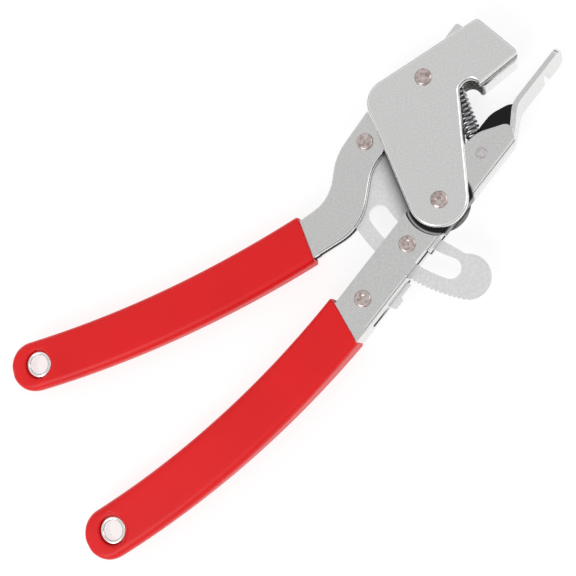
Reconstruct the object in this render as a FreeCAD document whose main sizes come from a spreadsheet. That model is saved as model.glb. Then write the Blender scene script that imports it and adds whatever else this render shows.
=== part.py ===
import FreeCAD, Part
import math
import os

from FreeCAD import Placement, Rotation, Vector

# Cable-pulling pliers with a thumb lock, lying flat: +X towards the nose, +Y towards the
# upper lever, +Z through the thickness. The model is drawn about the head pivot A and each
# sub-part is then placed by the origin_ cells.

doc = FreeCAD.newDocument("cable_puller")
sheet = doc.addObject("Spreadsheet::Sheet", "dims")

DIMENSIONS = [
    # where the head pivot lies in the part's own frame
    ("origin_x", 52.59), ("origin_y", -29.72), ("origin_z", 7.5),
    # pivots, from the head pivot
    ("lever_pivot_x", 28.3), ("lever_pivot_y", 28.7),
    ("sector_pivot_x", 1.2), ("sector_pivot_y", 31.9),
    ("guide_x", -17.1), ("guide_y", -0.6),
    ("pawl_x", -39.4), ("pawl_y", -0.2),
    ("anchor_x", 19.6), ("anchor_y", -1.1),
    ("hook_x", 34.4), ("hook_y", 22.6),
    ("lower_hole_x", -153.5), ("lower_hole_y", 19.3),
    ("upper_hole_x", -128.8), ("upper_hole_y", 77.9),
    # folded sheets: half width over the flanges, and thickness
    ("channel_half", 5.9), ("channel_sheet", 1.6),
    ("arm_half", 4.5), ("web_low", -7.5), ("edge_high", 6.1),
    ("head_half", 6.3), ("head_sheet", 1.7), ("head_rollover", 1.1), ("jaw_fold", 3.0),
    ("lever_half", 3.4), ("lever_sheet", 1.9), ("lever_gap_half", 1.4),
    # nose tongue
    ("nose_tip_x", 59.4), ("nose_half", 5.6), ("nose_tilt_deg", 6.0),
    ("nose_slot_x", 51.6), ("nose_slot_width", 2.4),
    # sector plate: arcs about its own centre
    ("sector_centre_x", 30.9), ("sector_centre_y", -0.6), ("sector_thick", 2.0),
    ("slot_radius", 48.0), ("slot_half", 3.45), ("sector_inner", 41.0), ("sector_outer", 56.5),
    ("tooth_depth", 0.6), ("tooth_pitch_deg", 1.55), ("tooth_count", 15),
    # round parts
    ("pivot_shank", 2.5), ("small_shank", 2.0), ("sector_shank", 1.7), ("running_gap", 0.06),
    ("rivet_head", 2.75), ("rivet_head_tall", 1.1), ("head_gap", 0.1),
    ("roller_radius", 3.05), ("roller_half", 1.3), ("washer_radius", 4.2),
    ("pin_radius", 1.9), ("hook_pin_radius", 1.0), ("block_pin_radius", 1.1),
    ("eyelet_bore", 3.3), ("eyelet_wall", 0.6), ("eyelet_flange", 5.0), ("eyelet_half", 2.7),
    # grips and handles
    ("grip_width", 17.1), ("handle_width", 13.4), ("grip_overhang", 2.5),
    ("grip_end_half", 3.3), ("handle_end_half", 1.7),
    ("lower_grip_half", 6.9), ("upper_grip_half", 4.7), ("grip_round", 2.4),
    ("lower_mouth_slant", 5.0), ("upper_mouth_slant", 1.5),
    # pawl, springs and clamp
    ("pawl_thick", 2.4), ("spring_radius", 2.7), ("spring_wire", 0.9), ("spring_length", 18.2),
    ("spring_offset", 4.4), ("block_half", 1.4), ("anvil_half", 4.6),
]
for row, (alias, value) in enumerate(DIMENSIONS, start=1):
    sheet.set("A%d" % row, alias)
    sheet.set("B%d" % row, str(value))
    sheet.setAlias("B%d" % row, alias)
doc.recompute()


def dim(alias):
    """A driving dimension read back from the sheet."""
    return float(getattr(sheet, alias))


def at(prefix):
    return Vector(dim(prefix + "_x"), dim(prefix + "_y"), 0)


ORIGIN = Vector(dim("origin_x"), dim("origin_y"), dim("origin_z"))
ROOM = 300.0        # larger than the object, for cutting solids


# ---- shared shapes ---------------------------------------------------------------------------
def rounded_wire(points):
    """Closed wire through (x, y) or (x, y, corner radius) points in the XY plane."""
    corners = [(Vector(p[0], p[1], 0), p[2] if len(p) > 2 else 0.0) for p in points]
    edges = []
    ends = []
    count = len(corners)
    for i, (here, radius) in enumerate(corners):
        back = (corners[i - 1][0] - here).normalize()
        ahead = (corners[(i + 1) % count][0] - here).normalize()
        if radius == 0.0:
            ends.append((here, here, None))
            continue
        half = back.getAngle(ahead) / 2
        reach = radius / math.tan(half)
        middle = here + (back + ahead).normalize() * (radius / math.sin(half) - radius)
        ends.append((here + back * reach, here + ahead * reach, middle))
    for i, (start, finish, middle) in enumerate(ends):
        if middle is not None:
            edges.append(Part.Arc(start, middle, finish).toShape())
        following = ends[(i + 1) % count][0]
        if finish.distanceToPoint(following) > 1e-6:
            edges.append(Part.makeLine(finish, following))
    return Part.Wire(edges)


def slab(points, low, high):
    """Plan outline extruded from z = low to z = high."""
    face = Part.Face(rounded_wire(points))
    return face.translated(Vector(0, 0, low)).extrude(Vector(0, 0, high - low))


def round_bar(centre, radius, half):
    return Part.makeCylinder(radius, 2 * half, centre + Vector(0, 0, -half))


def face_rims(blank, half):
    """Edges around the two flat faces of a blanked plate."""
    return [e for e in blank.Edges
            if all(abs(abs(v.Z) - half) < 1e-6 for v in e.Vertexes)]


def folded_channel(half, thick, x_from, x_to):
    """U-shaped strip along X: web at web_low, open at edge_high, folds rounded."""
    low, high = dim("web_low"), dim("edge_high")
    fold = thick + 0.4
    section = rounded_wire([
        (high, half), (low, half, fold), (low, -half, fold), (high, -half),
        (high, thick - half), (low + thick, thick - half, 0.4),
        (low + thick, half - thick, 0.4), (high, half - thick)])
    # section drawn as (y, z), turned so that it stands across X
    turn = Placement(Vector(x_from, 0, 0), Rotation(Vector(0, 1, 0), Vector(0, 0, 1),
                                                    Vector(1, 0, 0), "ZXY"))
    face = Part.Face(section)
    face.Placement = turn
    return face.extrude(Vector(x_to - x_from, 0, 0))


def handle_outline(start, end, sag, width):
    """Banana-shaped plan outline from a square front end to a round end about the hang hole."""
    chord = end - start
    along = Vector(chord).normalize()
    across = Vector(-along.y, along.x, 0)      # to the left, looking from front to end
    radius = chord.Length ** 2 / (8 * sag) + sag / 2
    half_turn = math.asin(chord.Length / (2 * radius))
    side = across                               # the bow bulges to the left of the chord
    centre = start + chord / 2 - side * (radius - sag)

    def on_arc(offset, share):
        turn = (share - 0.5) * 2 * half_turn
        ray = side * math.cos(turn) + along * math.sin(turn)
        return centre + ray * (radius + offset)

    half = width / 2
    tip = end + (on_arc(half, 1) - on_arc(-half, 1)).cross(Vector(0, 0, 1)).normalize() * half
    return Part.Wire([
        Part.Arc(on_arc(half, 0), on_arc(half, 0.5), on_arc(half, 1)).toShape(),
        Part.Arc(on_arc(half, 1), tip, on_arc(-half, 1)).toShape(),
        Part.Arc(on_arc(-half, 1), on_arc(-half, 0.5), on_arc(-half, 0)).toShape(),
        Part.makeLine(on_arc(-half, 0), on_arc(half, 0))])


def tapered_handle(start, end, sag, width, front_half, end_half):
    """Handle outline whose thickness falls from the front to the end."""
    deep = 2 * front_half
    body = Part.Face(handle_outline(start, end, sag, width)).translated(Vector(0, 0, -deep))
    body = body.extrude(Vector(0, 0, 2 * deep))
    along = Vector(end - start).normalize()
    across = Vector(-along.y, along.x, 0)
    length = start.distanceToPoint(end)
    before, beyond = -10.0, length + 15.0
    slope = (end_half - front_half) / length
    profile = Part.makePolygon([
        start + along * s + Vector(0, 0, side * (front_half + slope * s)) - across * ROOM / 2
        for s, side in [(before, 1), (beyond, 1), (beyond, -1), (before, -1), (before, 1)]])
    return body.common(Part.Face(profile).extrude(across * ROOM))


def feature(label, shape):
    """A sub-part whose shape is worked out here from the sheet's sizes."""
    obj = doc.addObject("Part::Feature", label)
    obj.Shape = shape
    obj.Placement = Placement(ORIGIN, Rotation()).multiply(shape.Placement)
    return obj


# ---- round parts, bound to the sheet -----------------------------------------------------------
def cylinder(name, place, low, tall, radius):
    """Part::Cylinder along Z; every argument is an expression in the sheet's aliases."""
    obj = doc.addObject("Part::Cylinder", name)
    obj.setExpression("Radius", radius)
    obj.setExpression("Height", tall)
    for axis, offset in zip("xyz", (place[0], place[1], low)):
        obj.setExpression("Placement.Base." + axis, "dims.origin_%s + %s" % (axis, offset))
    return obj


def cone(name, place, low, tall, radius_low, radius_high):
    obj = doc.addObject("Part::Cone", name)
    obj.setExpression("Radius1", radius_low)
    obj.setExpression("Radius2", radius_high)
    obj.setExpression("Height", tall)
    for axis, offset in zip("xyz", (place[0], place[1], low)):
        obj.setExpression("Placement.Base." + axis, "dims.origin_%s + %s" % (axis, offset))
    return obj


def place_of(prefix):
    return ("dims.%s_x" % prefix, "dims.%s_y" % prefix)


HEAD_PIVOT = ("0", "0")


def rivet(label, place, shank, half):
    """Solid rivet: shank, and a low bevelled head at each end."""
    tall = "dims.rivet_head_tall"
    rim = "%s * 0.6" % tall
    pieces = [cylinder(label + "_shank", place, "-(%s)" % half, "2 * (%s)" % half, shank)]
    for side, low, cone_low in (("front", half, "(%s) + %s" % (half, rim)),
                                ("back", "-(%s) - %s" % (half, rim), "-(%s) - %s" % (half, tall))):
        pieces.append(cylinder(label + "_rim_" + side, place, low, rim, "dims.rivet_head"))
        radii = ["dims.rivet_head", "dims.rivet_head * 0.72"]
        if side == "back":
            radii.reverse()
        pieces.append(cone(label + "_crown_" + side, place, cone_low, "%s * 0.4" % tall, *radii))
    whole = doc.addObject("Part::MultiFuse", label)
    whole.Shapes = pieces
    whole.Refine = True
    return whole


def tube(label, place, low, tall, outer, inner):
    """Washer, bush or roller: one cylinder cut from another."""
    whole = doc.addObject("Part::Cut", label)
    whole.Base = cylinder(label + "_outside", place, low, tall, outer)
    whole.Tool = cylinder(label + "_hole", place, "%s - 1" % low, "%s + 2" % tall, inner)
    return whole


def washer_pair(label, place, inner_face, outer_face, outer, hole):
    """Two equal washers, one on each side of the mid plane."""
    tall = "(%s) - (%s)" % (outer_face, inner_face)
    whole = doc.addObject("Part::Compound", label)
    whole.Links = [tube(label + "_front", place, inner_face, tall, outer, hole),
                   tube(label + "_back", place, "-(%s)" % outer_face, tall, outer, hole)]
    return whole


# ---- lower lever --------------------------------------------------------------------------------
HANDLE_FRONT = Vector(-46.0, -0.7, 0)
GRIP_FRONT = Vector(-46.6, 0.4, 0)
LOWER_SAG = 4.3


def lower_lever_steel():
    half, thick, arm = dim("channel_half"), dim("channel_sheet"), dim("arm_half")
    low, high = dim("web_low"), dim("edge_high")
    recess, step = 10.8, 1.3                 # circle of the joggle around the head pivot
    channel = folded_channel(half, thick, HANDLE_FRONT.x - 1, 0)
    channel = channel.cut(Part.makeCone(recess, recess + step, 2 * step, Vector(0, 0, half - step)))
    channel = channel.cut(Part.makeCone(recess + step, recess, 2 * step,
                                        Vector(0, 0, -half - step)))
    channel = channel.cut(Part.makeCylinder(recess, 2 * (half - step) + 0.02,
                                            Vector(0, 0, step - half - 0.01)))
    channel = channel.cut(Part.makeBox(20, 40, 40, Vector(-3, -20, -20)))

    arm_channel = folded_channel(arm, thick, -recess - 3, 44)
    front_flange = slab([(-30, high), (19.0, 4.9, 4), (24.4, 3.7, 6), (32.6, -2.3, 2.4),
                         (27.6, low - 1, 1), (-30, low - 1)], 0, half)
    back_flange = slab([(-30, high), (32.6, 5.9, 9), (38.0, 3.4, 4), (41.4, 0.0), (38.4, -1.2),
                        (28.4, -6.6), (27.4, low - 1), (-30, low - 1)], -half, 0)
    reach = Part.makeCylinder(recess + step, 2 * half, Vector(0, 0, -half))
    reach = reach.fuse(Part.makeBox(60, 40, 2 * half, Vector(0, -20, -half)))
    arm_channel = arm_channel.common(front_flange.fuse(back_flange)).common(reach)

    # the web runs on past the flanges, bends up and becomes the nose
    tip, nose = dim("nose_tip_x"), dim("nose_half")
    face = -1.9                              # outer face of the nose
    strip = slab([(24, low), (28.8, low, 4.0), (38.2, face, 7.0), (tip, face),
                  (tip, face + thick), (37.6, face + thick, 8.6), (28.2, low + thick, 2.4),
                  (24, low + thick)], -nose, nose)
    face_view = [(24, arm - 1.9), (29, arm - 1.5, 4), (36, nose, 6), (tip, nose, 2.6),
                 (tip, -nose, 2.6), (36, -nose, 5), (31, 0.2 - arm, 3), (27, 1.9 - arm, 2),
                 (24, 1.9 - arm)]
    broad = slab(face_view, -20, 20)
    broad.rotate(Vector(), Vector(1, 0, 0), 90)
    slot_x, slot_half = dim("nose_slot_x"), dim("nose_slot_width") / 2
    slot = Part.makeBox(2 * slot_half, 10, nose + 1, Vector(slot_x - slot_half, -6, -nose - 1))
    slot = slot.fuse(Part.makeCylinder(slot_half, 10, Vector(slot_x, -6, 0), Vector(0, 1, 0)))
    strip = strip.common(broad).cut(slot)
    strip.rotate(Vector(0, face, -nose), Vector(1, 0, 0), -dim("nose_tilt_deg"))

    end = at("lower_hole")
    handle = tapered_handle(HANDLE_FRONT, end, LOWER_SAG, dim("handle_width"), half,
                            dim("handle_end_half"))
    hollow = tapered_handle(HANDLE_FRONT, end, LOWER_SAG, dim("handle_width") - 2 * thick,
                            half - thick, 0.4)
    hollow = hollow.fuse(hollow.translated(Vector(0, 4, 0)))
    hollow = hollow.cut(round_bar(end, 14, half))
    steel = channel.fuse([arm_channel, strip, handle.cut(hollow)]).removeSplitter()

    # window for the sector plate, and the slot that the pawl's thumb bar stands through
    for x_from, x_to, y_top, slot_half in ((-25.5, -14.9, low + 1.3, 10), (-44.5, -25.4, low + 3, 1.6),
                                           (-25.5, -7.6, low + 2.6, 1.4)):
        steel = steel.cut(Part.makeBox(x_to - x_from, y_top - low + 3, 2 * slot_half,
                                       Vector(x_from, low - 3, -slot_half)))
    for centre, radius in ((Vector(), dim("pivot_shank")), (at("guide"), dim("small_shank")),
                           (at("pawl"), dim("small_shank")), (at("anchor"), dim("pin_radius")),
                           (end, dim("eyelet_bore") + dim("eyelet_wall"))):
        steel = steel.cut(round_bar(centre, radius, 10))
    return steel


def carried_on(start, end, sag, extra):
    """The same bow carried on past its end: the new end and the new sag."""
    chord = end - start
    along = Vector(chord).normalize()
    radius = chord.Length ** 2 / (8 * sag) + sag / 2
    centre = start + chord / 2 - Vector(-along.y, along.x, 0) * (radius - sag)
    turn = Rotation(Vector(0, 0, -1), math.degrees(extra / radius))
    further = centre + turn.multVec(end - centre)
    half_chord = start.distanceToPoint(further) / 2
    return further, radius - math.sqrt(radius ** 2 - half_chord ** 2)


def grip(label, front, hole, sag, half, slant, steel_front, steel_half, lever):
    """Dipped sleeve: outer skin with rounded edges, less the steel handle inside it."""
    tip, tip_sag = carried_on(front, hole, sag, dim("grip_overhang"))
    width = dim("grip_width")
    outer = tapered_handle(front, tip, tip_sag, width, half, dim("grip_end_half"))
    # the mouth is cut on a slant, its web side further back
    along = Vector(tip - front).normalize()
    across = Vector(-along.y, along.x, 0)
    wedge = Part.makePolygon([front + across * s * width + along * a for s, a in
                              [(-1, -8), (1, -8), (1, slant * 1.5), (-1, -slant * 0.5), (-1, -8)]])
    wedge = Part.Face(wedge).translated(Vector(0, 0, -20)).extrude(Vector(0, 0, 40))
    outer = outer.cut(wedge)
    outer = outer.makeFillet(dim("grip_round"), outer.Edges)
    steel = tapered_handle(steel_front, hole, sag, dim("handle_width"), steel_half,
                           dim("handle_end_half"))
    outer = outer.cut(steel).cut(lever).cut(round_bar(hole, dim("eyelet_flange") + 0.1, half))
    return feature(label, outer)


def eyelet(label, prefix):
    """Flared tube through the handle's end, open as the hang hole."""
    bore, wall = dim("eyelet_bore"), dim("eyelet_wall")
    flange, half = dim("eyelet_flange"), dim("eyelet_half")
    thin = 0.5
    steel = dim("handle_end_half") + 0.2      # the handle is a little thicker to one side
    section = Part.makePolygon([Vector(x, 0, z) for x, z in [
        (bore, -half + 0.2), (bore, half - 0.2), (bore + 0.2, half), (flange - 0.3, steel + thin),
        (flange, steel), (bore + wall, steel), (bore + wall, -steel), (flange, -steel),
        (flange - 0.3, -steel - thin), (bore + 0.2, -half), (bore, -half + 0.2)]])
    ring = Part.Face(section).revolve(Vector(), Vector(0, 0, 1), 360)
    return feature(label, ring.translated(at(prefix)))


# ---- head ---------------------------------------------------------------------------------------
JAW_RIGHT = (51.7, 7.7)
JAW_LEFT = (36.2, 11.6)


def head_outline(grow=0.0):
    """Plan of the folded head; its foot is round about the head pivot."""
    return [(53.6, 26.8, 2.0), JAW_RIGHT + (3.0,), JAW_LEFT + (1.3,), (37.9, 17.4, 3.0),
            (31.9, 17.2, 2.0), (-38.3, -48.4, 9.6 + grow), (12.7, 42.5, 8.0)]


def head_shell():
    half, thick, roll = dim("head_half"), dim("head_sheet"), dim("head_rollover")
    blank = slab(head_outline(), -half, half)
    blank = blank.makeFillet(roll, face_rims(blank, half))
    # everything between the two plates is open except the folded web under the jaw
    along = Vector(JAW_RIGHT[0] - JAW_LEFT[0], JAW_RIGHT[1] - JAW_LEFT[1], 0).normalize()
    up = Vector(-along.y, along.x, 0)
    left = Vector(JAW_LEFT[0], JAW_LEFT[1], 0) + up * thick
    web_strip = Part.Face(Part.makePolygon([
        left + along * 1.2 - up * 20, left + along * 1.2, left + along * 15.6,
        left + along * 15.6 - up * 20, left + along * 1.2 - up * 20]))
    web_strip = web_strip.translated(Vector(0, 0, -half)).extrude(Vector(0, 0, 2 * half))
    inside = half - thick
    gap = Part.makeBox(ROOM, ROOM, 2 * inside, Vector(-ROOM / 2, -ROOM / 2, -inside))
    shell = blank.cut(gap.cut(web_strip))
    # the two folds along the jaw have a larger radius than the sheared edges
    fold = dim("jaw_fold")
    turn = Placement(Vector(JAW_LEFT[0], JAW_LEFT[1], 0), Rotation(along, up, Vector(), "XYZ"))
    for side in (-1, 1):
        corner = Part.makeBox(22, fold + 1, fold + 1, Vector(-2.5, -1, half - fold if side > 0
                                                              else -half - 1))
        corner = corner.cut(Part.makeCylinder(fold, 24, Vector(-3.5, fold, side * (half - fold)),
                                              Vector(1, 0, 0)))
        corner.Placement = turn
        shell = shell.cut(corner)
    shell = shell.cut(round_bar(Vector(), dim("pivot_shank") + dim("running_gap"), 10))
    shell = shell.cut(round_bar(at("lever_pivot"), dim("pivot_shank"), 10))
    return feature("head_shell", shell)


def clamp_anvil():
    """Hard block between the head's plates that the cable is gripped against."""
    half = dim("anvil_half")
    block = slab([(40.2, 25.6, 0.6), (48.8, 24.6, 0.6), (48.8, 31.4, 0.8), (42.6, 31.4, 0.8)],
                 -half, half)
    grooves = [Part.makeCylinder(0.45, 2 * half, Vector(x, 25.5 - 0.116 * (x - 41), -half))
               for x in (42.6, 44.4, 46.2)]
    return feature("clamp_anvil", block.cut(grooves[0]).cut(grooves[1]).cut(grooves[2]))


# ---- upper lever ----------------------------------------------------------------------------------
UPPER_FRONT = Vector(-34.6, 27.3, 0)
UPPER_GRIP_FRONT = Vector(-35.6, 27.6, 0)
UPPER_SAG = 3.4


def upper_lever_steel():
    half, gap, thick = dim("lever_half"), dim("lever_gap_half"), dim("lever_sheet")
    plan = [(-37.5, 35.1), (-20.9, 29.6, 14.5), (-8.0, 37.2, 20), (9, 37.9, 30), (35.8, 36.0, 7.2),
            (36.8, 24.0, 2), (46.8, 22.4, 1.0), (46.8, 17.3, 1.5), (38, 19.4, 6), (30.5, 21.0, 6),
            (5, 24.7, 20), (-4.2, 24.8, 16), (-21.3, 15.3, 18), (-42.2, 23.2)]
    blade = slab(plan, -half, half)
    blade = blade.makeFillet(0.7, face_rims(blade, half))
    # the channel is open below its web, which ends under the head
    cavity = slab([(-60, 41.0 - thick), (-20.6, 29.5 - thick * 1.05, 16.4),
                   (-7.5, 37.1 - thick * 1.05, 18), (12, 37.9 - thick), (12, 60), (70, 60),
                   (70, -20), (-60, -20)], -gap, gap)
    blade = blade.cut(cavity)
    end = at("upper_hole")
    handle = tapered_handle(UPPER_FRONT, end, UPPER_SAG, dim("handle_width"), half,
                            dim("handle_end_half"))
    hollow = tapered_handle(UPPER_FRONT, end, UPPER_SAG, dim("handle_width") - 2 * thick, gap, 0.4)
    hollow = hollow.fuse(hollow.translated(Vector(-1.5, -4, 0))).cut(round_bar(end, 14, half))
    steel = blade.fuse(handle.cut(hollow)).removeSplitter()
    for centre, radius in ((at("lever_pivot"), dim("pivot_shank") + dim("running_gap")),
                           (at("sector_pivot"), dim("sector_shank")),
                           (at("hook"), dim("hook_pin_radius")),
                           (BLOCK_PIN, dim("block_pin_radius")),
                           (end, dim("eyelet_bore") + dim("eyelet_wall"))):
        steel = steel.cut(round_bar(centre, radius, 10))
    return steel


BLOCK_PIN = Vector(43.2, 20.3, 0)


def clamp_block():
    """Toothed block held between the lever's two noses."""
    half = dim("block_half")
    block = slab([(39.4, 23.9, 0.4), (47.2, 22.7, 0.4), (47.2, 17.9, 0.6), (39.4, 19.6, 0.6)],
                 -half, half)
    for x in (40.8, 42.6, 44.4, 46.2):
        block = block.cut(Part.makeCylinder(0.4, 2 * half, Vector(x, 23.75 - 0.154 * (x - 40.4),
                                                                  -half)))
    return feature("clamp_block", block.cut(round_bar(BLOCK_PIN, dim("block_pin_radius"), half)))


# ---- sector plate and pawl: flat blanks, padded from sketches --------------------------------------
def plane_of(body, role):
    return [f for f in body.Origin.OriginFeatures if f.Role == role][0]


def new_sketch(body, name):
    sketch = body.newObject("Sketcher::SketchObject", name)
    sketch.AttachmentSupport = [(plane_of(body, "XY_Plane"), "")]
    sketch.MapMode = "FlatFace"
    return sketch


def padded_body(label, wire, thick, centre):
    """Body about its own centre, its sketch padded evenly both ways from the mid plane."""
    body = doc.addObject("PartDesign::Body", label)
    sketch = new_sketch(body, label + "_outline")
    for edge in wire.Edges:
        curve = edge.Curve
        if isinstance(curve, Part.Circle) and not edge.Closed:
            ends = sorted((edge.FirstParameter, edge.LastParameter))
            sketch.addGeometry(Part.ArcOfCircle(curve, *ends), False)
        elif isinstance(curve, Part.Circle):
            sketch.addGeometry(curve, False)
        else:
            sketch.addGeometry(Part.LineSegment(edge.Vertexes[0].Point, edge.Vertexes[1].Point),
                               False)
    pad = body.newObject("PartDesign::Pad", label + "_pad")
    pad.Profile = sketch
    pad.setExpression("Length", "dims." + thick)
    pad.Midplane = True
    for axis in "xy":
        offset = "dims.%s_%s" % (centre, axis)
        body.setExpression("Placement.Base." + axis, "dims.origin_%s + %s" % (axis, offset))
    body.setExpression("Placement.Base.z", "dims.origin_z")
    doc.recompute()
    return body


def pocket(body, name, shapes):
    """Pocket through the plate both ways; shapes are circles or closed wires of lines and arcs."""
    sketch = new_sketch(body, name + "_outline")
    for geometry in shapes:
        sketch.addGeometry(geometry, False)
    cut = body.newObject("PartDesign::Pocket", name)
    cut.Profile = sketch
    cut.Type = 1                              # through all
    cut.Midplane = True
    doc.recompute()
    return cut


def sector_plate():
    """Curved plate: round eye on the upper lever, slot for the guide, ratchet teeth outside."""
    centre = at("sector_centre")
    eye = at("sector_pivot") - centre
    outer, inner = dim("sector_outer"), dim("sector_inner")
    middle, slot = dim("slot_radius"), dim("slot_half")

    def polar(radius, degrees):               # degrees upwards from the -X direction
        angle = math.radians(180 - degrees)
        return Vector(radius * math.cos(angle), radius * math.sin(angle), 0)

    foot, inner_top, outer_top = -25.1, -4.0, 27.0
    # the plate widens behind the head, out to these two corners
    shoulder, heel = Vector(3.0, 20.0, 0) - centre, Vector(-5.5, 4.5, 0) - centre
    eye_radius = 3.4
    away = Vector(eye).normalize()
    foot_outer = polar(outer, foot)
    foot_inner = polar(inner + 1.2, foot + 3.2)
    lobe = polar(middle + 0.6, foot - 8.5)
    outline = Part.Wire([
        Part.Arc(foot_outer, polar(outer, 4), polar(outer, outer_top)).toShape(),
        Part.makeLine(polar(outer, outer_top), eye + polar(eye_radius, 22)),
        Part.Arc(eye + polar(eye_radius, 22), eye + away * eye_radius * 0.5
                 + Vector(away.y, -away.x, 0) * eye_radius * 0.8660254,
                 eye + Vector(eye_radius, 0, 0)).toShape(),
        Part.makeLine(eye + Vector(eye_radius, 0, 0), shoulder),
        Part.makeLine(shoulder, heel),
        Part.makeLine(heel, polar(inner, inner_top)),
        Part.Arc(polar(inner, inner_top), polar(inner, -14), foot_inner).toShape(),
        Part.Arc(foot_inner, lobe, foot_outer).toShape()])
    body = padded_body("sector_plate", outline, "sector_thick", "sector_centre")

    # slot: two concentric arcs closed by round ends
    slot_low, slot_high = -17.9, 17.1
    ends = []
    for degrees, bulge in ((slot_high, 1), (slot_low, -1)):
        mid = polar(middle, degrees) + polar(slot, degrees + bulge * 90)
        ends.append(Part.Arc(polar(middle - slot, degrees), mid, polar(middle + slot, degrees)))
    sides = [Part.Arc(polar(r, slot_low), polar(r, 0), polar(r, slot_high))
             for r in (middle - slot, middle + slot)]
    pocket(body, "guide_slot", ends + sides)
    hole = Part.Circle(eye, Vector(0, 0, 1), dim("sector_shank") + dim("running_gap"))
    pocket(body, "eye_hole", [hole])

    # saw-tooth gap, repeated around the sector's centre
    pitch, depth = dim("tooth_pitch_deg"), dim("tooth_depth")
    first = -6.5
    gap = [polar(outer + 0.3, first), polar(outer + 0.3, first - 0.92 * pitch),
           polar(outer - depth, first - 0.80 * pitch)]
    lines = [Part.LineSegment(gap[i - 1], gap[i]) for i in range(3)]
    tooth = pocket(body, "tooth_gap", lines)
    pattern = body.newObject("PartDesign::PolarPattern", "teeth")
    pattern.Originals = [tooth]
    pattern.Axis = (tooth.Profile[0], ["N_Axis"])
    pattern.Reversed = False
    pattern.setExpression("Angle", "dims.tooth_pitch_deg * (dims.tooth_count - 1)")
    pattern.setExpression("Occurrences", "dims.tooth_count")
    body.Tip = pattern
    doc.recompute()
    return body


def lock_pawl():
    """Pawl plate: eye on its rivet, tip over the teeth, thumb bar standing out of the web."""
    centre = at("pawl")
    outline = [(-42.9, 3.3, 3.4), (-36.2, 3.3, 3.4), (-27.6, -3.6, 1.0), (-26.5, -7.6, 0.3),
               (-26.5, -8.9, 0.4), (-31.6, -8.9, 0.3), (-31.9, -10.0, 0.5), (-35.6, -10.0, 0.8),
               (-36.4, -7.6, 0.8), (-42.9, -3.9, 3.0)]
    local = [(p[0] - centre.x, p[1] - centre.y, p[2]) for p in outline]
    body = padded_body("lock_pawl", rounded_wire(local), "pawl_thick", "pawl")
    hole = Part.Circle(Vector(), Vector(0, 0, 1), dim("small_shank") + dim("running_gap"))
    pocket(body, "pawl_hole", [hole])
    return body


# ---- springs ----------------------------------------------------------------------------------------
def return_spring():
    """Envelope of the close-wound extension spring, with a loop on each pin."""
    start, hook = at("anchor"), at("hook")
    along = Vector(hook - start).normalize()
    radius, wire = dim("spring_radius"), dim("spring_wire")
    offset, length = dim("spring_offset"), dim("spring_length")
    coil = Part.makeCylinder(radius, length, start + along * offset, along)
    coil = coil.cut(Part.makeCylinder(radius - wire, length + 2, start + along * (offset - 1),
                                      along))
    loops = []
    for pin, pin_radius, back in ((start, dim("pin_radius"), 1), (hook, dim("hook_pin_radius"), -1)):
        ring = pin_radius + wire / 2 + 0.1
        loops.append(Part.makeTorus(ring, wire / 2, pin, Vector(0, 0, 1)))
        gap = offset if back > 0 else hook.distanceToPoint(start) - offset - length
        side = Vector(-along.y, along.x, 0) * (radius - wire / 2)
        near = pin + along * back * ring * 0.6 + side * 0.6
        far = pin + along * back * (gap + 0.3) + side
        loops.append(Part.makeCylinder(wire / 2, near.distanceToPoint(far), near, far - near))
    return feature("return_spring", coil.fuse(loops))


def pawl_spring():
    """Torsion spring on the pawl's rivet: three turns, one leg on the web, one on the pawl."""
    centre = at("pawl")
    wire, ring = 0.35, 2.6
    lowest = dim("pawl_thick") / 2 + 0.15 + wire
    turns = [Part.makeTorus(ring, wire, centre + Vector(0, 0, lowest + i * 0.8)) for i in range(3)]
    fixed = Part.makeCylinder(wire, 5.2, centre + Vector(-ring, 0, lowest + 1.6), Vector(0, -1, 0))
    moving = Part.makeCylinder(wire, 7.0, centre + Vector(0, -ring, lowest), Vector(1, -0.3, 0))
    turns[2] = turns[2].fuse(fixed)
    turns[0] = turns[0].fuse(moving)
    return feature("pawl_spring", Part.makeCompound([s for t in turns for s in t.Solids]))


# ---- the assembly -------------------------------------------------------------------------------------
HEAD_HALF, CHANNEL_HALF, LEVER_HALF = "dims.head_half", "dims.channel_half", "dims.lever_half"
ARM_INSIDE = "dims.arm_half - dims.channel_sheet"
CHANNEL_INSIDE = "dims.channel_half - dims.channel_sheet"
HEAD_INSIDE = "dims.head_half - dims.head_sheet"

lower_steel, upper_steel = lower_lever_steel(), upper_lever_steel()

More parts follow.
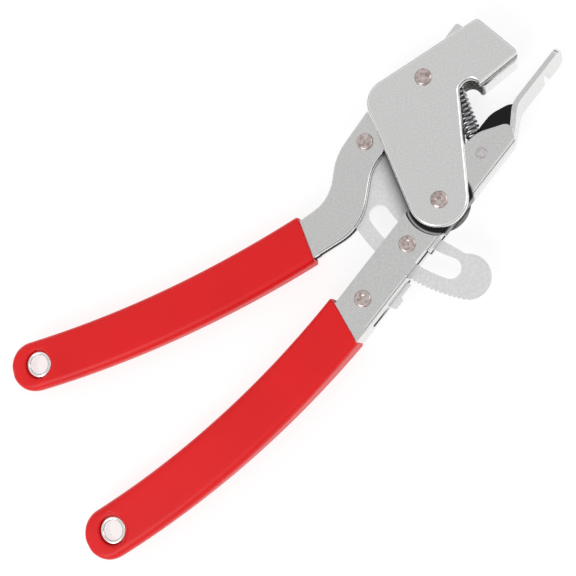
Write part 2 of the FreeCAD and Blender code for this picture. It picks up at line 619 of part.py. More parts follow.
nodes = [
    feature("lower_lever", lower_steel),
    grip("lower_grip", GRIP_FRONT, at("lower_hole"), LOWER_SAG, dim("lower_grip_half"),
         dim("lower_mouth_slant"), HANDLE_FRONT, dim("channel_half"), lower_steel),
    eyelet("lower_eyelet", "lower_hole"),
    rivet("head_pivot_rivet", HEAD_PIVOT, "dims.pivot_shank", HEAD_HALF + " + dims.head_gap"),
    tube("head_pivot_bush", HEAD_PIVOT, "-(%s)" % ARM_INSIDE, "2 * (%s)" % ARM_INSIDE,
         "dims.pivot_shank + 1.2", "dims.pivot_shank"),
    rivet("guide_rivet", place_of("guide"), "dims.small_shank", CHANNEL_HALF),
    tube("guide_roller", place_of("guide"), "-dims.roller_half", "2 * dims.roller_half",
         "dims.roller_radius", "dims.small_shank"),
    washer_pair("guide_washers", place_of("guide"), "dims.roller_half", CHANNEL_INSIDE,
                "dims.washer_radius + 0.6", "dims.small_shank"),
    rivet("pawl_rivet", place_of("pawl"), "dims.small_shank", CHANNEL_HALF),
    tube("pawl_spacer", place_of("pawl"), "-(%s)" % CHANNEL_INSIDE,
         "%s - dims.pawl_thick / 2 - dims.head_gap" % CHANNEL_INSIDE, "3.2", "dims.small_shank"),
    pawl_spring(),
    cylinder("spring_anchor_pin", place_of("anchor"), "-dims.arm_half", "2 * dims.arm_half",
             "dims.pin_radius"),
    return_spring(),
    head_shell(),
    clamp_anvil(),
    rivet("lever_pivot_rivet", place_of("lever_pivot"), "dims.pivot_shank", HEAD_HALF),
    washer_pair("lever_pivot_washers", place_of("lever_pivot"), LEVER_HALF + " + dims.head_gap",
                HEAD_INSIDE, "dims.washer_radius + 1", "dims.pivot_shank"),
    feature("upper_lever", upper_steel),
    grip("upper_grip", UPPER_GRIP_FRONT, at("upper_hole"), UPPER_SAG, dim("upper_grip_half"),
         dim("upper_mouth_slant"), UPPER_FRONT, dim("lever_half"), upper_steel),
    eyelet("upper_eyelet", "upper_hole"),
    rivet("sector_rivet", place_of("sector_pivot"), "dims.sector_shank", LEVER_HALF),
    clamp_block(),
    cylinder("clamp_pin", ("%g" % BLOCK_PIN.x, "%g" % BLOCK_PIN.y), "-dims.lever_half",
             "2 * dims.lever_half", "dims.block_pin_radius"),
    cylinder("spring_hook_pin", place_of("hook"), "-dims.lever_half", "2 * dims.lever_half",
             "dims.hook_pin_radius"),
    sector_plate(),
    lock_pawl(),
]
doc.recompute()

for obj in doc.Objects:
    if "Invalid" in obj.State or "Error" in obj.State:
        raise RuntimeError("%s failed to build: %s" % (obj.Label, obj.State))
os.makedirs("parts", exist_ok=True)
box = FreeCAD.BoundBox()
for obj in nodes:
    shape = obj.Shape
    if shape.isNull() or not shape.isValid() or not shape.Solids:
        raise RuntimeError("%s has a bad shape" % obj.Label)
    box.add(shape.BoundBox)
    shape.exportStep("parts/%s.step" % obj.Label)
    print("%-20s solids %d  volume %9.1f" % (obj.Label, len(shape.Solids), shape.Volume))
print("box", box)
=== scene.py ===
import bpy, bmesh, math
from mathutils import Matrix, Vector


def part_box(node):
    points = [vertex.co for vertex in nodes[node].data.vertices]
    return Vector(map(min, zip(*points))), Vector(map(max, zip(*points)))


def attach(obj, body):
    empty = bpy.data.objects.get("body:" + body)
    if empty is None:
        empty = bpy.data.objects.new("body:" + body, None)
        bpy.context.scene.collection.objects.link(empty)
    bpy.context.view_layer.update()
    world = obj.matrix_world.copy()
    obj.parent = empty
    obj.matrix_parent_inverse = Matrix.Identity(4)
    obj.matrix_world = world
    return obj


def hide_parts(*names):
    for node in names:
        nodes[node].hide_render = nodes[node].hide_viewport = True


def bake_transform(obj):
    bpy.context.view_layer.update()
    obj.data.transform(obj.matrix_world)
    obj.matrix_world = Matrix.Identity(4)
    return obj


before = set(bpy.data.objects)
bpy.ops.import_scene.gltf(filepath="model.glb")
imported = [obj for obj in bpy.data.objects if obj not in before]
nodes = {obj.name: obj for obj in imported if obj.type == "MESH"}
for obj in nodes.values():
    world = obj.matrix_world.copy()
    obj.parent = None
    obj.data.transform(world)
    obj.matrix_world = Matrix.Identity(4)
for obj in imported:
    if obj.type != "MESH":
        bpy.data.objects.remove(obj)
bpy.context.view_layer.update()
mm = 0.001
print("frame loaded:", len(nodes), "nodes")


def boxMiddle(node):
    low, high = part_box(node)
    return (low + high) / 2


# helpers for materials

def hexColour(code):
    # sRGB hex to linear
    parts = [int(code[i:i + 2], 16) / 255 for i in (1, 3, 5)]
    linear = [c / 12.92 if c <= 0.04045 else ((c + 0.055) / 1.055) ** 2.4 for c in parts]
    return (*linear, 1.0)


def grey(value):
    return (value, value, value, 1.0)


def addNode(tree, kind, settings=None, links=None):
    # settings go on the node or its inputs; links map an input to another node's output socket
    node = tree.nodes.new(kind)
    for name, value in (settings or {}).items():
        if isinstance(name, str) and hasattr(node, name):
            setattr(node, name, value)
        else:
            node.inputs[name].default_value = value
    for name, source in (links or {}).items():
        tree.links.new(source, node.inputs[name])
    return node


def startMaterial(name, settings):
    material = bpy.data.materials.new(name)
    material.use_nodes = True
    tree = material.node_tree
    shader = tree.nodes["Principled BSDF"]
    for socket, value in settings.items():
        shader.inputs[socket].default_value = value
    return material, tree, shader


def objectPlace(tree):
    return addNode(tree, "ShaderNodeTexCoord").outputs["Object"]


def colourRamp(tree, source, stops):
    ramp = addNode(tree, "ShaderNodeValToRGB", links={"Fac": source})
    elements = ramp.color_ramp.elements
    while len(elements) < len(stops):
        elements.new(0.5)
    for element, (place, colour) in zip(elements, stops):
        element.position = place
        element.color = colour
    return ramp.outputs["Color"]


def noise(tree, place, sizeMm, detail, roughness=0.5):
    settings = {"Scale": 1000 / sizeMm, "Detail": detail, "Roughness": roughness}
    return addNode(tree, "ShaderNodeTexNoise", settings, {"Vector": place}).outputs["Fac"]


def mapRange(tree, source, low, high):
    # a source of 0 gives low, 1 gives high
    node = addNode(tree, "ShaderNodeMapRange", {"To Min": low, "To Max": high}, {"Value": source})
    return node.outputs["Result"]


def edgeRamp(tree, source, low, high):
    # a source of low gives 0, high gives 1, clamped; low may be the larger
    node = addNode(tree, "ShaderNodeMapRange", {"From Min": low, "From Max": high},
                   {"Value": source})
    return node.outputs["Result"]


def mathNode(tree, operation, *inputs):
    # inputs are sockets or plain numbers
    node = addNode(tree, "ShaderNodeMath", {"operation": operation})
    for place, value in enumerate(inputs):
        if isinstance(value, (int, float)):
            node.inputs[place].default_value = value
        else:
            tree.links.new(value, node.inputs[place])
    return node.outputs["Value"]


def product(tree, *sources):
    whole = sources[0]
    for source in sources[1:]:
        whole = mathNode(tree, "MULTIPLY", whole, source)
    return whole


def bump(tree, source, distance, strength, normal=None):
    links = {"Height": source}
    if normal is not None:
        links["Normal"] = normal
    node = addNode(tree, "ShaderNodeBump", {"Distance": distance, "Strength": strength}, links)
    return node.outputs["Normal"]


# plated steels

def platedSteel(name, look):
    # nickel-chrome over pressed steel: bright, softly cloudy from the orange peel of the sheet
    material, tree, shader = startMaterial(name, {"Metallic": 1.0})
    place = objectPlace(tree)
    cloud = noise(tree, place, look["cloudMm"], look["cloudDetail"])
    grain = noise(tree, place, look["grainMm"], look["grainDetail"])
    stretch = look["scratchStretch"]
    drawnOut = addNode(tree, "ShaderNodeMapping",
                       {"Rotation": (0, 0, look["scratchTurn"]), "Scale": (1, stretch, stretch)},
                       {"Vector": place}).outputs["Vector"]
    scratch = noise(tree, drawnOut, look["scratchMm"], look["scratchDetail"],
                    look["scratchSharp"])
    tintFrom, tintTo = look["tintRange"]
    tint = colourRamp(tree, grain, [(tintFrom, hexColour(look["dark"])),
                                    (tintTo, hexColour(look["light"]))])
    tree.links.new(tint, shader.inputs["Base Color"])
    middle, swing = look["roughness"], look["roughSwing"]
    blur = mathNode(tree, "ADD", mapRange(tree, cloud, 0.0, look["roughSpread"]),
                    mapRange(tree, scratch, middle - swing, middle + swing))
    tree.links.new(blur, shader.inputs["Roughness"])
    peel = bump(tree, grain, look["peelMm"] * mm, look["peelStrength"])
    fine = bump(tree, scratch, look["scratchDeepMm"] * mm, look["scratchStrength"], peel)
    tree.links.new(fine, shader.inputs["Normal"])
    return material


sheetLook = {"dark": "#EAE9E9", "light": "#F2F2F1", "tintRange": (0.36, 0.62),
             "cloudMm": 9.0, "cloudDetail": 3.0, "grainMm": 0.55, "grainDetail": 2.0,
             "scratchMm": 3.2, "scratchDetail": 4.0, "scratchSharp": 0.7,
             "scratchStretch": 14, "scratchTurn": 0.9, "scratchDeepMm": 0.004,
             "scratchStrength": 0.25, "roughness": 0.21, "roughSwing": 0.03,
             "roughSpread": 0.03, "peelMm": 0.010, "peelStrength": 0.35}


def sheetVariant(name, dark, light, **changes):
    return platedSteel(name, {**sheetLook, "dark": dark, "light": light, **changes})


satinSheet = platedSteel("platedSheetSteelSatin", sheetLook)
leverSheet = sheetVariant("platedLeverSteelSatin", "#E0DFDF", "#E9E9E8", scratchTurn=0.0)
blankedPlate = sheetVariant("platedBlankedPlate", "#F4F4F4", "#FFFFFF",
                            roughness=0.42, cloudMm=5.0)
sectorSteel = sheetVariant("platedSectorPlate", "#F0F0F0", "#FCFCFC",
                           roughness=0.36, cloudMm=5.0)
turnedSteel = sheetVariant("turnedSteelPlain", "#8F9092", "#A9AAAC",
                           roughness=0.34, cloudMm=2.0)
hardSteel = sheetVariant("hardenedClampSteel", "#6C6D70", "#828386",
                         roughness=0.42, cloudMm=2.5)
springSteel = sheetVariant("brightSpringWire", "#8A8B8E", "#B4B5B8",
                           roughness=0.13, cloudMm=2.0, grainMm=0.3)
eyeletSteel = sheetVariant("brightEyeletNickel", "#F0F0F0", "#FAFAFA",
                           roughness=0.15, cloudMm=3.0)


# painted shade over the plating, in recesses and behind the head

def placeFromPivot(tree):
    # Object coordinates measured from the head pivot
    return addNode(tree, "ShaderNodeVectorMath",
                   {"operation": "SUBTRACT", 1: boxMiddle("head_pivot_rivet")},
                   {0: objectPlace(tree)}).outputs["Vector"]


def darken(material, mask, colour):
    # mixes the colour over the steel where the mask is 1; sockets 6, 7 and 2 are its colour ones
    tree = material.node_tree
    shader = tree.nodes["Principled BSDF"]
    steel = shader.inputs["Base Color"].links[0].from_socket
    mixed = addNode(tree, "ShaderNodeMix", {"data_type": "RGBA", 7: hexColour(colour)},
                    {0: mask, 6: steel})
    tree.links.new(mixed.outputs[2], shader.inputs["Base Color"])


def paintedRecessShade(material, look):
    # painted shade round the head's foot, and on the floor of the arm's open end
    tree = material.node_tree
    spot = placeFromPivot(tree)
    flat = addNode(tree, "ShaderNodeVectorMath", {"operation": "MULTIPLY", 1: (1, 1, 0)},
                   {0: spot}).outputs["Vector"]
    reach = addNode(tree, "ShaderNodeVectorMath", {"operation": "LENGTH"},
                    {0: flat}).outputs["Value"]
    split = addNode(tree, "ShaderNodeSeparateXYZ", links={"Vector": spot})
    x, y, z = (split.outputs[axis] for axis in "XYZ")
    acrossNose = mathNode(tree, "MULTIPLY_ADD", x, -look["noseSlope"], y)

    def fade(source, key):
        start, full = look[key]
        return edgeRamp(tree, source, start * mm, full * mm)

    footRing = fade(reach, "footRing")
    armFloor = product(tree, fade(x, "armStart"), fade(z, "floorBottom"), fade(z, "floorTop"),
                       fade(acrossNose, "noseEdge"), fade(y, "webInside"))
    darken(material, mathNode(tree, "MAXIMUM", footRing, armFloor), look["colour"])


def paintedShadowBehindHead(material, look):
    # painted shadow: the sector plate is darker where it slides in behind the head's straight edge
    tree = material.node_tree
    spot = placeFromPivot(tree)
    outward = addNode(tree, "ShaderNodeVectorMath",
                      {"operation": "DOT_PRODUCT", 1: look["outward"]},
                      {0: spot}).outputs["Value"]
    split = addNode(tree, "ShaderNodeSeparateXYZ", links={"Vector": spot})
    edge, width = look["edge"] * mm, look["width"] * mm
    near = mathNode(tree, "POWER", edgeRamp(tree, outward, edge + width, edge), look["falloff"])
    above = edgeRamp(tree, split.outputs["Y"], 0.0, look["above"] * mm)
    darken(material, product(tree, near, above), look["colour"])


# in mm from the head pivot; each pair is where the painted shade starts and where it is full
paintedRecessShade(leverSheet, {"colour": "#2C2B2C", "footRing": (10.9, 10.2),
                              "armStart": (17.0, 20.0), "floorBottom": (-3.35, -3.2),
                              "floorTop": (-2.75, -2.85), "noseSlope": 0.54,
                              "noseEdge": (-21.0, -20.4), "webInside": (-6.0, -5.6)})
paintedShadowBehindHead(sectorSteel, {"colour": "#1E1E1F", "outward": (-0.872, 0.489, 0),
                               "edge": 9.4, "width": 7.5, "falloff": 2.2, "above": 4.0})


# rivets and vinyl

def spunRivet(name, look):
    # copper-flashed steel rivet, spun over: warm grey and blotchy
    material, tree, shader = startMaterial(name, {"Metallic": 1.0})
    place = objectPlace(tree)
    blotch = noise(tree, place, look["blotchMm"], look["blotchDetail"])
    tint = colourRamp(tree, blotch, [(spot, hexColour(look[key])) for key, spot in
                                     zip(("stain", "base", "worn"), look["tintStops"])])
    tree.links.new(tint, shader.inputs["Base Color"])
    tree.links.new(mapRange(tree, blotch, look["roughLow"], look["roughHigh"]),
                   shader.inputs["Roughness"])
    pits = noise(tree, place, look["pitMm"], look["pitDetail"])
    tree.links.new(bump(tree, pits, look["pitDeepMm"] * mm, look["pitStrength"]),
                   shader.inputs["Normal"])
    return material


rivetLook = {"base": "#CDBFBB", "worn": "#E2D9D6", "stain": "#A8938C",
             "tintStops": (0.32, 0.5, 0.72), "blotchMm": 1.1, "blotchDetail": 4.0,
             "roughLow": 0.20, "roughHigh": 0.30, "pitMm": 0.35, "pitDetail": 3.0,
             "pitDeepMm": 0.02, "pitStrength": 0.5}
rivetSteel = spunRivet("spunRivetSteelWarm", rivetLook)
pinSteel = spunRivet("spunPinSteelPale", {**rivetLook, "base": "#E4DFE0", "worn": "#EEEAEB",
                                          "stain": "#CFC7C8"})


def dippedVinyl(look):
    # plasticised PVC, hot dipped: saturated, smooth, with the faint waviness of a drained coat
    material, tree, shader = startMaterial("dippedVinylRed", {"IOR": look["ior"]})
    place = objectPlace(tree)
    toneFrom, toneTo = look["toneRange"]
    tone = noise(tree, place, look["toneMm"], look["toneDetail"])
    tint = colourRamp(tree, tone, [(toneFrom, hexColour(look["deep"])),
                                   (toneTo, hexColour(look["bright"]))])
    tree.links.new(tint, shader.inputs["Base Color"])
    skin = noise(tree, place, look["skinMm"], look["skinDetail"])
    tree.links.new(mapRange(tree, skin, look["roughLow"], look["roughHigh"]),
                   shader.inputs["Roughness"])
    wave = noise(tree, place, look["waveMm"], look["waveDetail"])
    wavy = bump(tree, wave, look["waveDeepMm"] * mm, look["waveStrength"])
    tree.links.new(bump(tree, skin, look["skinDeepMm"] * mm, look["skinStrength"], wavy),
                   shader.inputs["Normal"])
    return material


vinyl = dippedVinyl({"ior": 1.38, "deep": "#E01116", "bright": "#EA1519",
                     "toneRange": (0.3, 0.7), "toneMm": 30.0, "toneDetail": 2.0,
                     "skinMm": 0.6, "skinDetail": 3.0, "skinDeepMm": 0.01, "skinStrength": 0.3,
                     "roughLow": 0.34, "roughHigh": 0.44, "waveMm": 14.0, "waveDetail": 1.0,
                     "waveDeepMm": 0.25, "waveStrength": 0.4})
print("materials made")


# helpers for new pieces

def newObject(name, data):
    made = bpy.data.objects.new(name, data)
    bpy.context.scene.collection.objects.link(made)
    return made


def meshFrom(name, bm):
    mesh = bpy.data.meshes.new(name)
    bm.to_mesh(mesh)
    bm.free()
    return mesh


def finalMesh(made):
    bpy.context.view_layer.update()
    graph = bpy.context.evaluated_depsgraph_get()
    return bpy.data.meshes.new_from_object(made.evaluated_get(graph))


def shade(mesh, smooth):
    for face in mesh.polygons:
        face.use_smooth = smooth


def finishPiece(name, bm, material, body, replaced, smooth=True):
    bmesh.ops.recalc_face_normals(bm, faces=bm.faces)
    piece = newObject(name, meshFrom(name, bm))
    piece.data.materials.append(material)
    shade(piece.data, smooth)
    if body:
        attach(piece, body)
    if replaced:
        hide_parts(replaced)
    return piece


def centreAndHalf(node):
    # the box's middle, and half its height in mm
    low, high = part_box(node)
    return (low + high) / 2, (high.z - low.z) / 2 / mm


def below(profile):
    # the same profile on the other face
    return [(r, -z) for r, z in reversed(profile)]


def spun(profile, centre, steps):
    # profile is (radius, height) pairs in mm about a vertical axis through centre
    bm = bmesh.new()
    verts = [bm.verts.new((centre.x + r * mm, centre.y, centre.z + z * mm)) for r, z in profile]
    edges = [bm.edges.new(pair) for pair in zip(verts, verts[1:])]
    bmesh.ops.spin(bm, geom=verts + edges, cent=centre, axis=(0, 0, 1), dvec=(0, 0, 0),
                   angle=math.tau, steps=steps, use_merge=True)
    bmesh.ops.remove_doubles(bm, verts=bm.verts, dist=1e-6)
    return bm


# rivets: domed, spun, with a dimple; crown is (radius, drop below the top)

rivetShape = {"headRadius": 2.75, "rimInset": 0.12, "rimStep": 0.15, "rimShare": 0.45,
              "shoulder": 0.80, "shoulderDrop": 0.10, "shoulderSteps": 6,
              "crown": [(1.62, 0.03), (1.5, 0.0), (1.25, 0.0), (1.15, 0.05), (0.6325, 0.192),
                        (0.23, 0.24), (0.0, 0.24)], "shankRadius": 1.5125, "steps": 48}


def rivetHeadProfile(seat, top):
    # from the rim on the plate, over the shoulder, to the spun dimple; heights in mm
    outside, shoulder = rivetShape["headRadius"], rivetShape["shoulder"]
    crown = top - rivetShape["shoulderDrop"]
    rim = seat + (crown - seat) * rivetShape["rimShare"]
    points = [(outside - rivetShape["rimInset"], seat), (outside, seat + rivetShape["rimStep"]),
              (outside, rim)]
    steps = rivetShape["shoulderSteps"]
    for i in range(1, steps + 1):
        turn = i / steps * math.pi / 2
        points.append((outside - shoulder * (1 - math.cos(turn)),
                       rim + (crown - rim) * math.sin(turn)))
    return points + [(radius, top - drop) for radius, drop in rivetShape["crown"]]


def rivetPiece(name, node, body, seatHalf):
    # seatHalf is how far above the middle the head sits
    centre, half = centreAndHalf(node)
    top = rivetHeadProfile(seatHalf, half)
    shank = [(rivetShape["shankRadius"], side * seatHalf) for side in (-1, 1)]
    bm = spun(below(top) + shank + top, centre, rivetShape["steps"])
    finishPiece(name, bm, rivetSteel, body, node)


rivetPiece("headPivotRivet", "head_pivot_rivet", "lower", seatHalf=6.35)
rivetPiece("leverPivotRivet", "lever_pivot_rivet", "head", seatHalf=6.3)
rivetPiece("guideRivet", "guide_rivet", "lower", seatHalf=5.9)
rivetPiece("pawlRivet", "pawl_rivet", "lower", seatHalf=5.9)
rivetPiece("sectorRivet", "sector_rivet", "upper", seatHalf=3.4)


# anchor pin: riveted flush, with a spun ring groove in each face

anchorShape = {"edgeRound": 0.1, "faceStands": 0.04, "middleStands": 0.06, "groove": 1.35,
               "grooveHalf": 0.14, "grooveDeep": 0.16, "steps": 40}


def anchorPin():
    low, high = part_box("spring_anchor_pin")
    centre, half = centreAndHalf("spring_anchor_pin")
    radius = (high.x - low.x) / 2 / mm
    groove, beside = anchorShape["groove"], anchorShape["grooveHalf"]
    edge, face = anchorShape["edgeRound"], half + anchorShape["faceStands"]
    top = [(radius, half - edge), (radius - edge, face), (groove + beside, face),
           (groove, half - anchorShape["grooveDeep"]), (groove - beside, face),
           (0.0, half + anchorShape["middleStands"])]
    bm = spun(below(top) + top, centre, anchorShape["steps"])
    finishPiece("anchorPin", bm, pinSteel, "lower", "spring_anchor_pin",
                smooth=False)


anchorPin()
print("rivets done")


# eyelets: rolled-over tubes; flange is (radius, drop below the top)

eyeletShape = {"bore": 3.3, "roll": 0.8, "rollSteps": 8, "steps": 64,
               "flange": [(4.45, 0.22), (4.88, 0.5), (5.0, 0.85), (3.85, 0.75)]}


def eyeletPiece(name, node, body):
    centre, half = centreAndHalf(node)
    bore, roll, steps = (eyeletShape[key] for key in ("bore", "roll", "rollSteps"))
    profile = [(bore, -half + roll), (bore, 0), (bore, half - roll)]
    for i in range(1, steps + 1):                  # the mouth rolls over into the flange
        turn = i / steps * math.pi / 2
        profile.append((bore + roll * (1 - math.cos(turn)), half - roll * (1 - math.sin(turn))))
    profile += [(radius, half - drop) for radius, drop in eyeletShape["flange"]]
    bm = spun(profile + below(profile[1:]) + [profile[0]], centre, eyeletShape["steps"])
    finishPiece(name, bm, eyeletSteel, body, node)


eyeletPiece("lowerEyelet", "lower_eyelet", "lower")
eyeletPiece("upperEyelet", "upper_eyelet", "upper")
print("eyelets done")


# return spring: a real coil between its two pins; turns in degrees, lengths in mm

springShape = {"wire": 1.0, "outer": 5.4, "pitch": 1.5, "pointsPerTurn": 28, "roundness": 3,
               "beforeCoil": 4.6, "afterCoil": 3.2,
               "loopRadius": 2.5, "loopTurns": (-330, -60), "loopPoints": 20,
               "hookRadius": 2.05, "hookTurns": (150, -100), "hookPoints": 16}


def coilPath(start, hook):
    along = (hook - start).normalized()
    side = Vector((-along.y, along.x, 0))
    up = Vector((0, 0, 1))

    def arc(centre, radius, turns, count):
        first, last = turns
        for i in range(count):
            turn = math.radians(first + (last - first) * i / (count - 1))
            yield centre + radius * mm * (along * math.cos(turn) + side * math.sin(turn))

    middle = (springShape["outer"] - springShape["wire"]) / 2 * mm
    coilStart = springShape["beforeCoil"] * mm
    coilLength = (hook - start).length - coilStart - springShape["afterCoil"] * mm
    turns = round(coilLength / (springShape["pitch"] * mm))
    steps = turns * springShape["pointsPerTurn"]
    points = [*arc(start, springShape["loopRadius"], springShape["loopTurns"],
                   springShape["loopPoints"])]
    for i in range(steps + 1):
        turn = math.tau * turns * i / steps
        points.append(start + along * (coilStart + coilLength * i / steps)
                      + side * middle * math.cos(turn) + up * middle * math.sin(turn))
    points += arc(hook, springShape["hookRadius"], springShape["hookTurns"],
                  springShape["hookPoints"])
    return points


def returnSpring():
    start, hook = boxMiddle("spring_anchor_pin"), boxMiddle("spring_hook_pin")
    points = coilPath(start, hook)
    curve = bpy.data.curves.new("springLine", "CURVE")
    curve.dimensions = "3D"
    spline = curve.splines.new("POLY")
    spline.points.add(len(points) - 1)
    for point, place in zip(spline.points, points):
        point.co = (*place, 1)
    curve.bevel_depth = springShape["wire"] / 2 * mm
    curve.bevel_resolution = springShape["roundness"]
    curve.use_fill_caps = True
    line = newObject("springLine", curve)
    made = finalMesh(line)
    bpy.data.objects.remove(line)
    bm = bmesh.new()
    bm.from_mesh(made)
    bpy.data.meshes.remove(made)
    spring = finishPiece("returnSpringCoil", bm, springSteel, None, "return_spring")
    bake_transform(spring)


returnSpring()
print("spring done")


# dipped grips: one skin round the handle, with the hang hole through its end; lengths in mm

gripShape = {"frontWidth": 16.5, "endWidth": 17.6, "endHalf": 3.3, "edgeRound": 2.6,
             "mostRound": 0.92, "lip": 1.0, "lipSteps": 6, "mouthDeep": 2.0, "mouthInset": 1.15,
             "slantFade": 0.3, "overhang": 2.5, "endTurn": 0.985, "endBlunt": 5,
             "endSquare": 0.4, "endThinnest": 0.12, "cornerPoints": 12, "flatPoints": 7,
             "bodyRings": 64, "endRings": 14}
holeShape = {"radius": 5.05, "flare": 0.8, "flareSteps": 6, "skinOver": 0.1, "past": 2,
             "steps": 64}


def leftOf(along):
    return Vector((-along.y, along.x, 0))


def bow(start, end, sag):
    # the arc from start to end that bows out by sag to the left: its chord, radius and centre
    chord = end - start
    radius = chord.length ** 2 / (8 * sag) + sag / 2
    return chord, radius, start + chord / 2 - leftOf(chord.normalized()) * (radius - sag)


def carriedOn(front, hole, sag):
    # the same bow carried on past the hole, where the round end is centred
    chord, radius, centre = bow(front, hole, sag)
    turn = Matrix.Rotation(-gripShape["overhang"] * mm / radius, 3, "Z")
    tip = centre + turn @ (hole - centre)
    half = (tip - front).length / 2
    return tip, radius - math.sqrt(radius ** 2 - half ** 2)


def bowedLine(front, tip, sag):
    chord, radius, centre = bow(front, tip, sag)
    along = chord.normalized()
    halfTurn = math.asin(chord.length / (2 * radius))

    def station(share):
        # point on the arc, unit vector to its left, unit vector along it; past 1 it runs straight
        turn = (min(share, 1.0) - 0.5) * 2 * halfTurn
        side = leftOf(along) * math.cos(turn) + along * math.sin(turn)
        ahead = Vector((side.y, -side.x, 0))
        past = max(0.0, share - 1.0) * chord.length
        return centre + side * radius + ahead * past, side, ahead

    return station, chord.length


def roundedRectangle(halfWide, halfTall):
    most = gripShape["mostRound"]
    soft = min(gripShape["edgeRound"] * mm, halfTall * most, halfWide * most)
    corners = [(1, 1), (-1, 1), (-1, -1), (1, -1)]
    arc, flat = gripShape["cornerPoints"], gripShape["flatPoints"]

    def onCorner(quarter, share):
        # share runs from 0 to 1 over the corner's arc
        outX, outY = corners[quarter % 4]
        turn = math.pi / 2 * (quarter + share)
        return (outX * (halfWide - soft) + soft * math.cos(turn),
                outY * (halfTall - soft) + soft * math.sin(turn))

    outline = []
    for quarter in range(4):
        outline += [onCorner(quarter, i / (arc - 1)) for i in range(arc)]
        (x, y), (endX, endY) = onCorner(quarter, 1), onCorner(quarter + 1, 0)
        outline += [(x + (endX - x) * i / (flat + 1), y + (endY - y) * i / (flat + 1))
                    for i in range(1, flat + 1)]
    return outline


def crossSection(bm, station, halfWide, halfTall, slant):
    # stands across the handle; slant leans its web side back along it
    middle, side, ahead = station
    verts = []
    for across, up in roundedRectangle(halfWide, halfTall):
        back = slant * (0.5 + across / (2 * halfWide))
        spot = middle + side * across + ahead * back
        spot.z += up
        verts.append(bm.verts.new(spot))
    return [bm.edges.new((verts[i - 1], verts[i])) for i in range(len(verts))]


def gripRings(frontHalf, length):
    # (share of length, half width, half thickness), in metres, from the mouth to the tip
    frontWide, endWide = gripShape["frontWidth"] / 2 * mm, gripShape["endWidth"] / 2 * mm
    lip, lipSteps = gripShape["lip"] * mm, gripShape["lipSteps"]
    endHalf = gripShape["endHalf"] * mm

    def ring(share, out=0.0):
        return (share, frontWide + (endWide - frontWide) * share - out,
                frontHalf + (endHalf - frontHalf) * share - out)

    inset = lip * gripShape["mouthInset"]
    rings = [(gripShape["mouthDeep"] * mm / length, frontWide - inset, frontHalf - inset)]
    for i in range(lipSteps + 1):                  # the lip rolls over at the mouth
        turn = math.pi / 2 * i / lipSteps
        rings.append(ring(lip * (1 - math.cos(turn)) / length, lip * (1 - math.sin(turn))))
    start = rings[-1][0]
    for i in range(1, gripShape["bodyRings"] + 1):
        rings.append(ring(start + (1 - start) * i / gripShape["bodyRings"]))
    for i in range(1, gripShape["endRings"] + 1):  # round end
        turn = math.pi / 2 * i / gripShape["endRings"] * gripShape["endTurn"]
        past = math.sin(turn)
        thin = (1 - past ** gripShape["endBlunt"]) ** gripShape["endSquare"]
        rings.append((1 + endWide * past / length, endWide * math.cos(turn),
                      endHalf * max(thin, gripShape["endThinnest"])))
    return rings


def holeCutter(centre):
    # a spool: straight hole whose two mouths flare out to round the skin's edge
    half = gripShape["endHalf"] + holeShape["skinOver"]
    radius, flare, steps = (holeShape[key] for key in ("radius", "flare", "flareSteps"))
    outside = half + holeShape["past"]
    profile = [(0.0, -outside), (radius + flare, -outside), (radius + flare, -half)]
    for i in range(1, steps + 1):
        turn = math.pi / 2 * i / steps
        profile.append((radius + flare * (1 - math.sin(turn)),
                        -half + flare * (1 - math.cos(turn))))
    bm = spun(profile + below(profile), centre, holeShape["steps"])
    bmesh.ops.recalc_face_normals(bm, faces=bm.faces)
    return newObject("holeCutter", meshFrom("holeCutter", bm))


def gripPiece(name, node, eyeletNode, body, grip):
    hole = boxMiddle(eyeletNode)
    front = boxMiddle("head_pivot_rivet") + Vector((*grip["front"], 0)) * mm
    front.z = hole.z
    tip, sag = carriedOn(front, hole, grip["sag"] * mm)
    station, length = bowedLine(front, tip, sag)
    bm = bmesh.new()
    loops = []
    for share, halfWide, halfTall in gripRings(grip["frontHalf"] * mm, length):
        lean = grip["slant"] * mm * max(0.0, 1 - share / gripShape["slantFade"])
        loops.append(crossSection(bm, station(share), halfWide, halfTall, lean))
    for a, b in zip(loops, loops[1:]):
        bmesh.ops.bridge_loops(bm, edges=a + b)
    for loop in (loops[0], loops[-1]):             # close the mouth's floor and the tip
        bmesh.ops.contextual_create(bm, geom=loop)
    piece = finishPiece(name, bm, vinyl, None, None)
    cutter = holeCutter(hole)
    cut = piece.modifiers.new("hangHole", "BOOLEAN")
    cut.operation, cut.solver, cut.object = "DIFFERENCE", "EXACT", cutter
    cutMesh = finalMesh(piece)
    piece.modifiers.clear()
    piece.data = cutMesh
    bpy.data.objects.remove(cutter)
    shade(piece.data, True)
    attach(piece, body)
    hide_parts(node)


# front is the mouth's middle, measured from the head pivot
gripPiece("lowerGripVinyl", "lower_grip", "lower_eyelet", "lower",
          {"front": (-45.6, 0.35), "sag": 4.3, "frontHalf": 6.8, "slant": 5.6})
gripPiece("upperGripVinyl", "upper_grip", "upper_eyelet", "upper",
          {"front": (-34.4, 27.2), "sag": 3.4, "frontHalf": 4.6, "slant": 2.4})
print("grips done")


# the CAD pieces that stay

def dress(material, *names):
    for name in names:
        slots = nodes[name].material_slots
        if not slots:
            nodes[name].data.materials.append(material)
        for one in slots:
            one.link = "OBJECT"
            one.material = material


dress(leverSheet, "lower_lever", "upper_lever")
dress(satinSheet, "head_shell", "clamp_anvil")
dress(sectorSteel, "sector_plate")
dress(blankedPlate, "lock_pawl")
dress(turnedSteel, "head_pivot_bush", "guide_roller", "guide_washers", "pawl_spacer",
      "lever_pivot_washers", "clamp_pin", "spring_hook_pin")
dress(hardSteel, "clamp_block")
dress(springSteel, "pawl_spring")
print("CAD pieces dressed")


# floor, light and camera

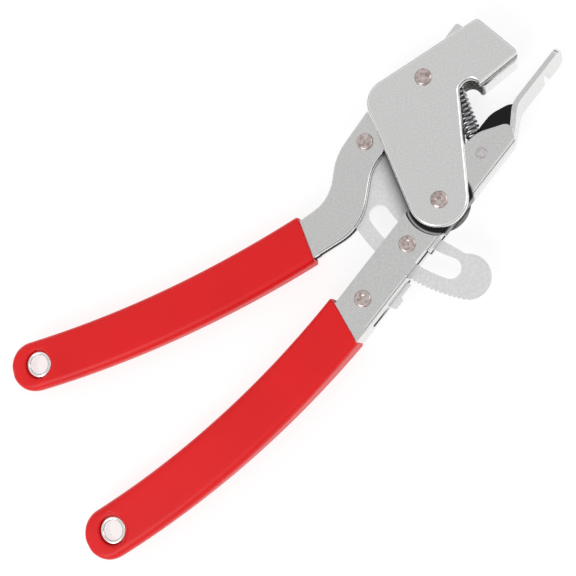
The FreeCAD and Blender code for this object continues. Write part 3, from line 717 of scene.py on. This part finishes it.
# skyBands: how bright the room is at each height, 0 at the horizon and 1 overhead
studio = {"floorSize": 4.0, "floorColour": "#8C8C8C", "floorRoughness": 0.9, "floorGlow": 0.78,
          "skyBands": [(0.0, 1.15), (0.10, 1.0), (0.17, 0.10), (0.36, 0.04), (0.46, 0.95),
                       (0.62, 1.0), (0.80, 0.70), (1.0, 0.66)],
          "softboxes": {"leftKey": {"place": (-0.8, -0.15, 0.75), "size": (0.5, 0.6), "power": 3.0},
                        "sideFill": {"place": (0.7, -0.5, 0.6), "size": (0.5, 0.8), "power": 1.2}}}
view = {"lens": 56.25, "sensor": 36.0, "clipStart": 0.01, "placeMm": (25.40, -87.23, 295.0),
        "turnDeg": (6.026, 15.266, -50.9)}


def floor():
    bm = bmesh.new()
    bmesh.ops.create_grid(bm, x_segments=1, y_segments=1, size=studio["floorSize"] / 2)
    plane = newObject("studioFloor", meshFrom("studioFloor", bm))
    material = startMaterial("paleBackdropPaper", {
        "Roughness": studio["floorRoughness"], "Base Color": hexColour(studio["floorColour"]),
        "Emission Color": grey(1.0), "Emission Strength": studio["floorGlow"]})[0]
    plane.data.materials.append(material)


def sky():
    world = bpy.data.worlds.new("softStudioRoom")
    bpy.context.scene.world = world
    world.use_nodes = True
    tree = world.node_tree
    coords = addNode(tree, "ShaderNodeTexCoord")
    split = addNode(tree, "ShaderNodeSeparateXYZ", links={"Vector": coords.outputs["Generated"]})
    shine = colourRamp(tree, split.outputs["Z"], [(z, grey(v)) for z, v in studio["skyBands"]])
    tree.links.new(shine, tree.nodes["Background"].inputs["Color"])


def softbox(name, box):
    # aimed at the origin
    light = bpy.data.lights.new(name, "AREA")
    light.shape = "RECTANGLE"
    light.size, light.size_y = box["size"]
    light.energy = box["power"]
    lamp = newObject(name, light)
    lamp.location = box["place"]
    lamp.rotation_euler = (-Vector(box["place"])).to_track_quat("-Z", "Y").to_euler()


def camera():
    lensData = bpy.data.cameras.new("studioCamera")
    lensData.lens, lensData.sensor_width = view["lens"], view["sensor"]
    lensData.clip_start = view["clipStart"]
    eye = newObject("studioCamera", lensData)
    eye.location = [v * mm for v in view["placeMm"]]
    eye.rotation_euler = [math.radians(v) for v in view["turnDeg"]]
    bpy.context.scene.camera = eye


floor()
sky()
for boxName, box in studio["softboxes"].items():
    softbox(boxName, box)
camera()
bpy.context.scene.view_settings.view_transform = "Standard"
print("studio set")
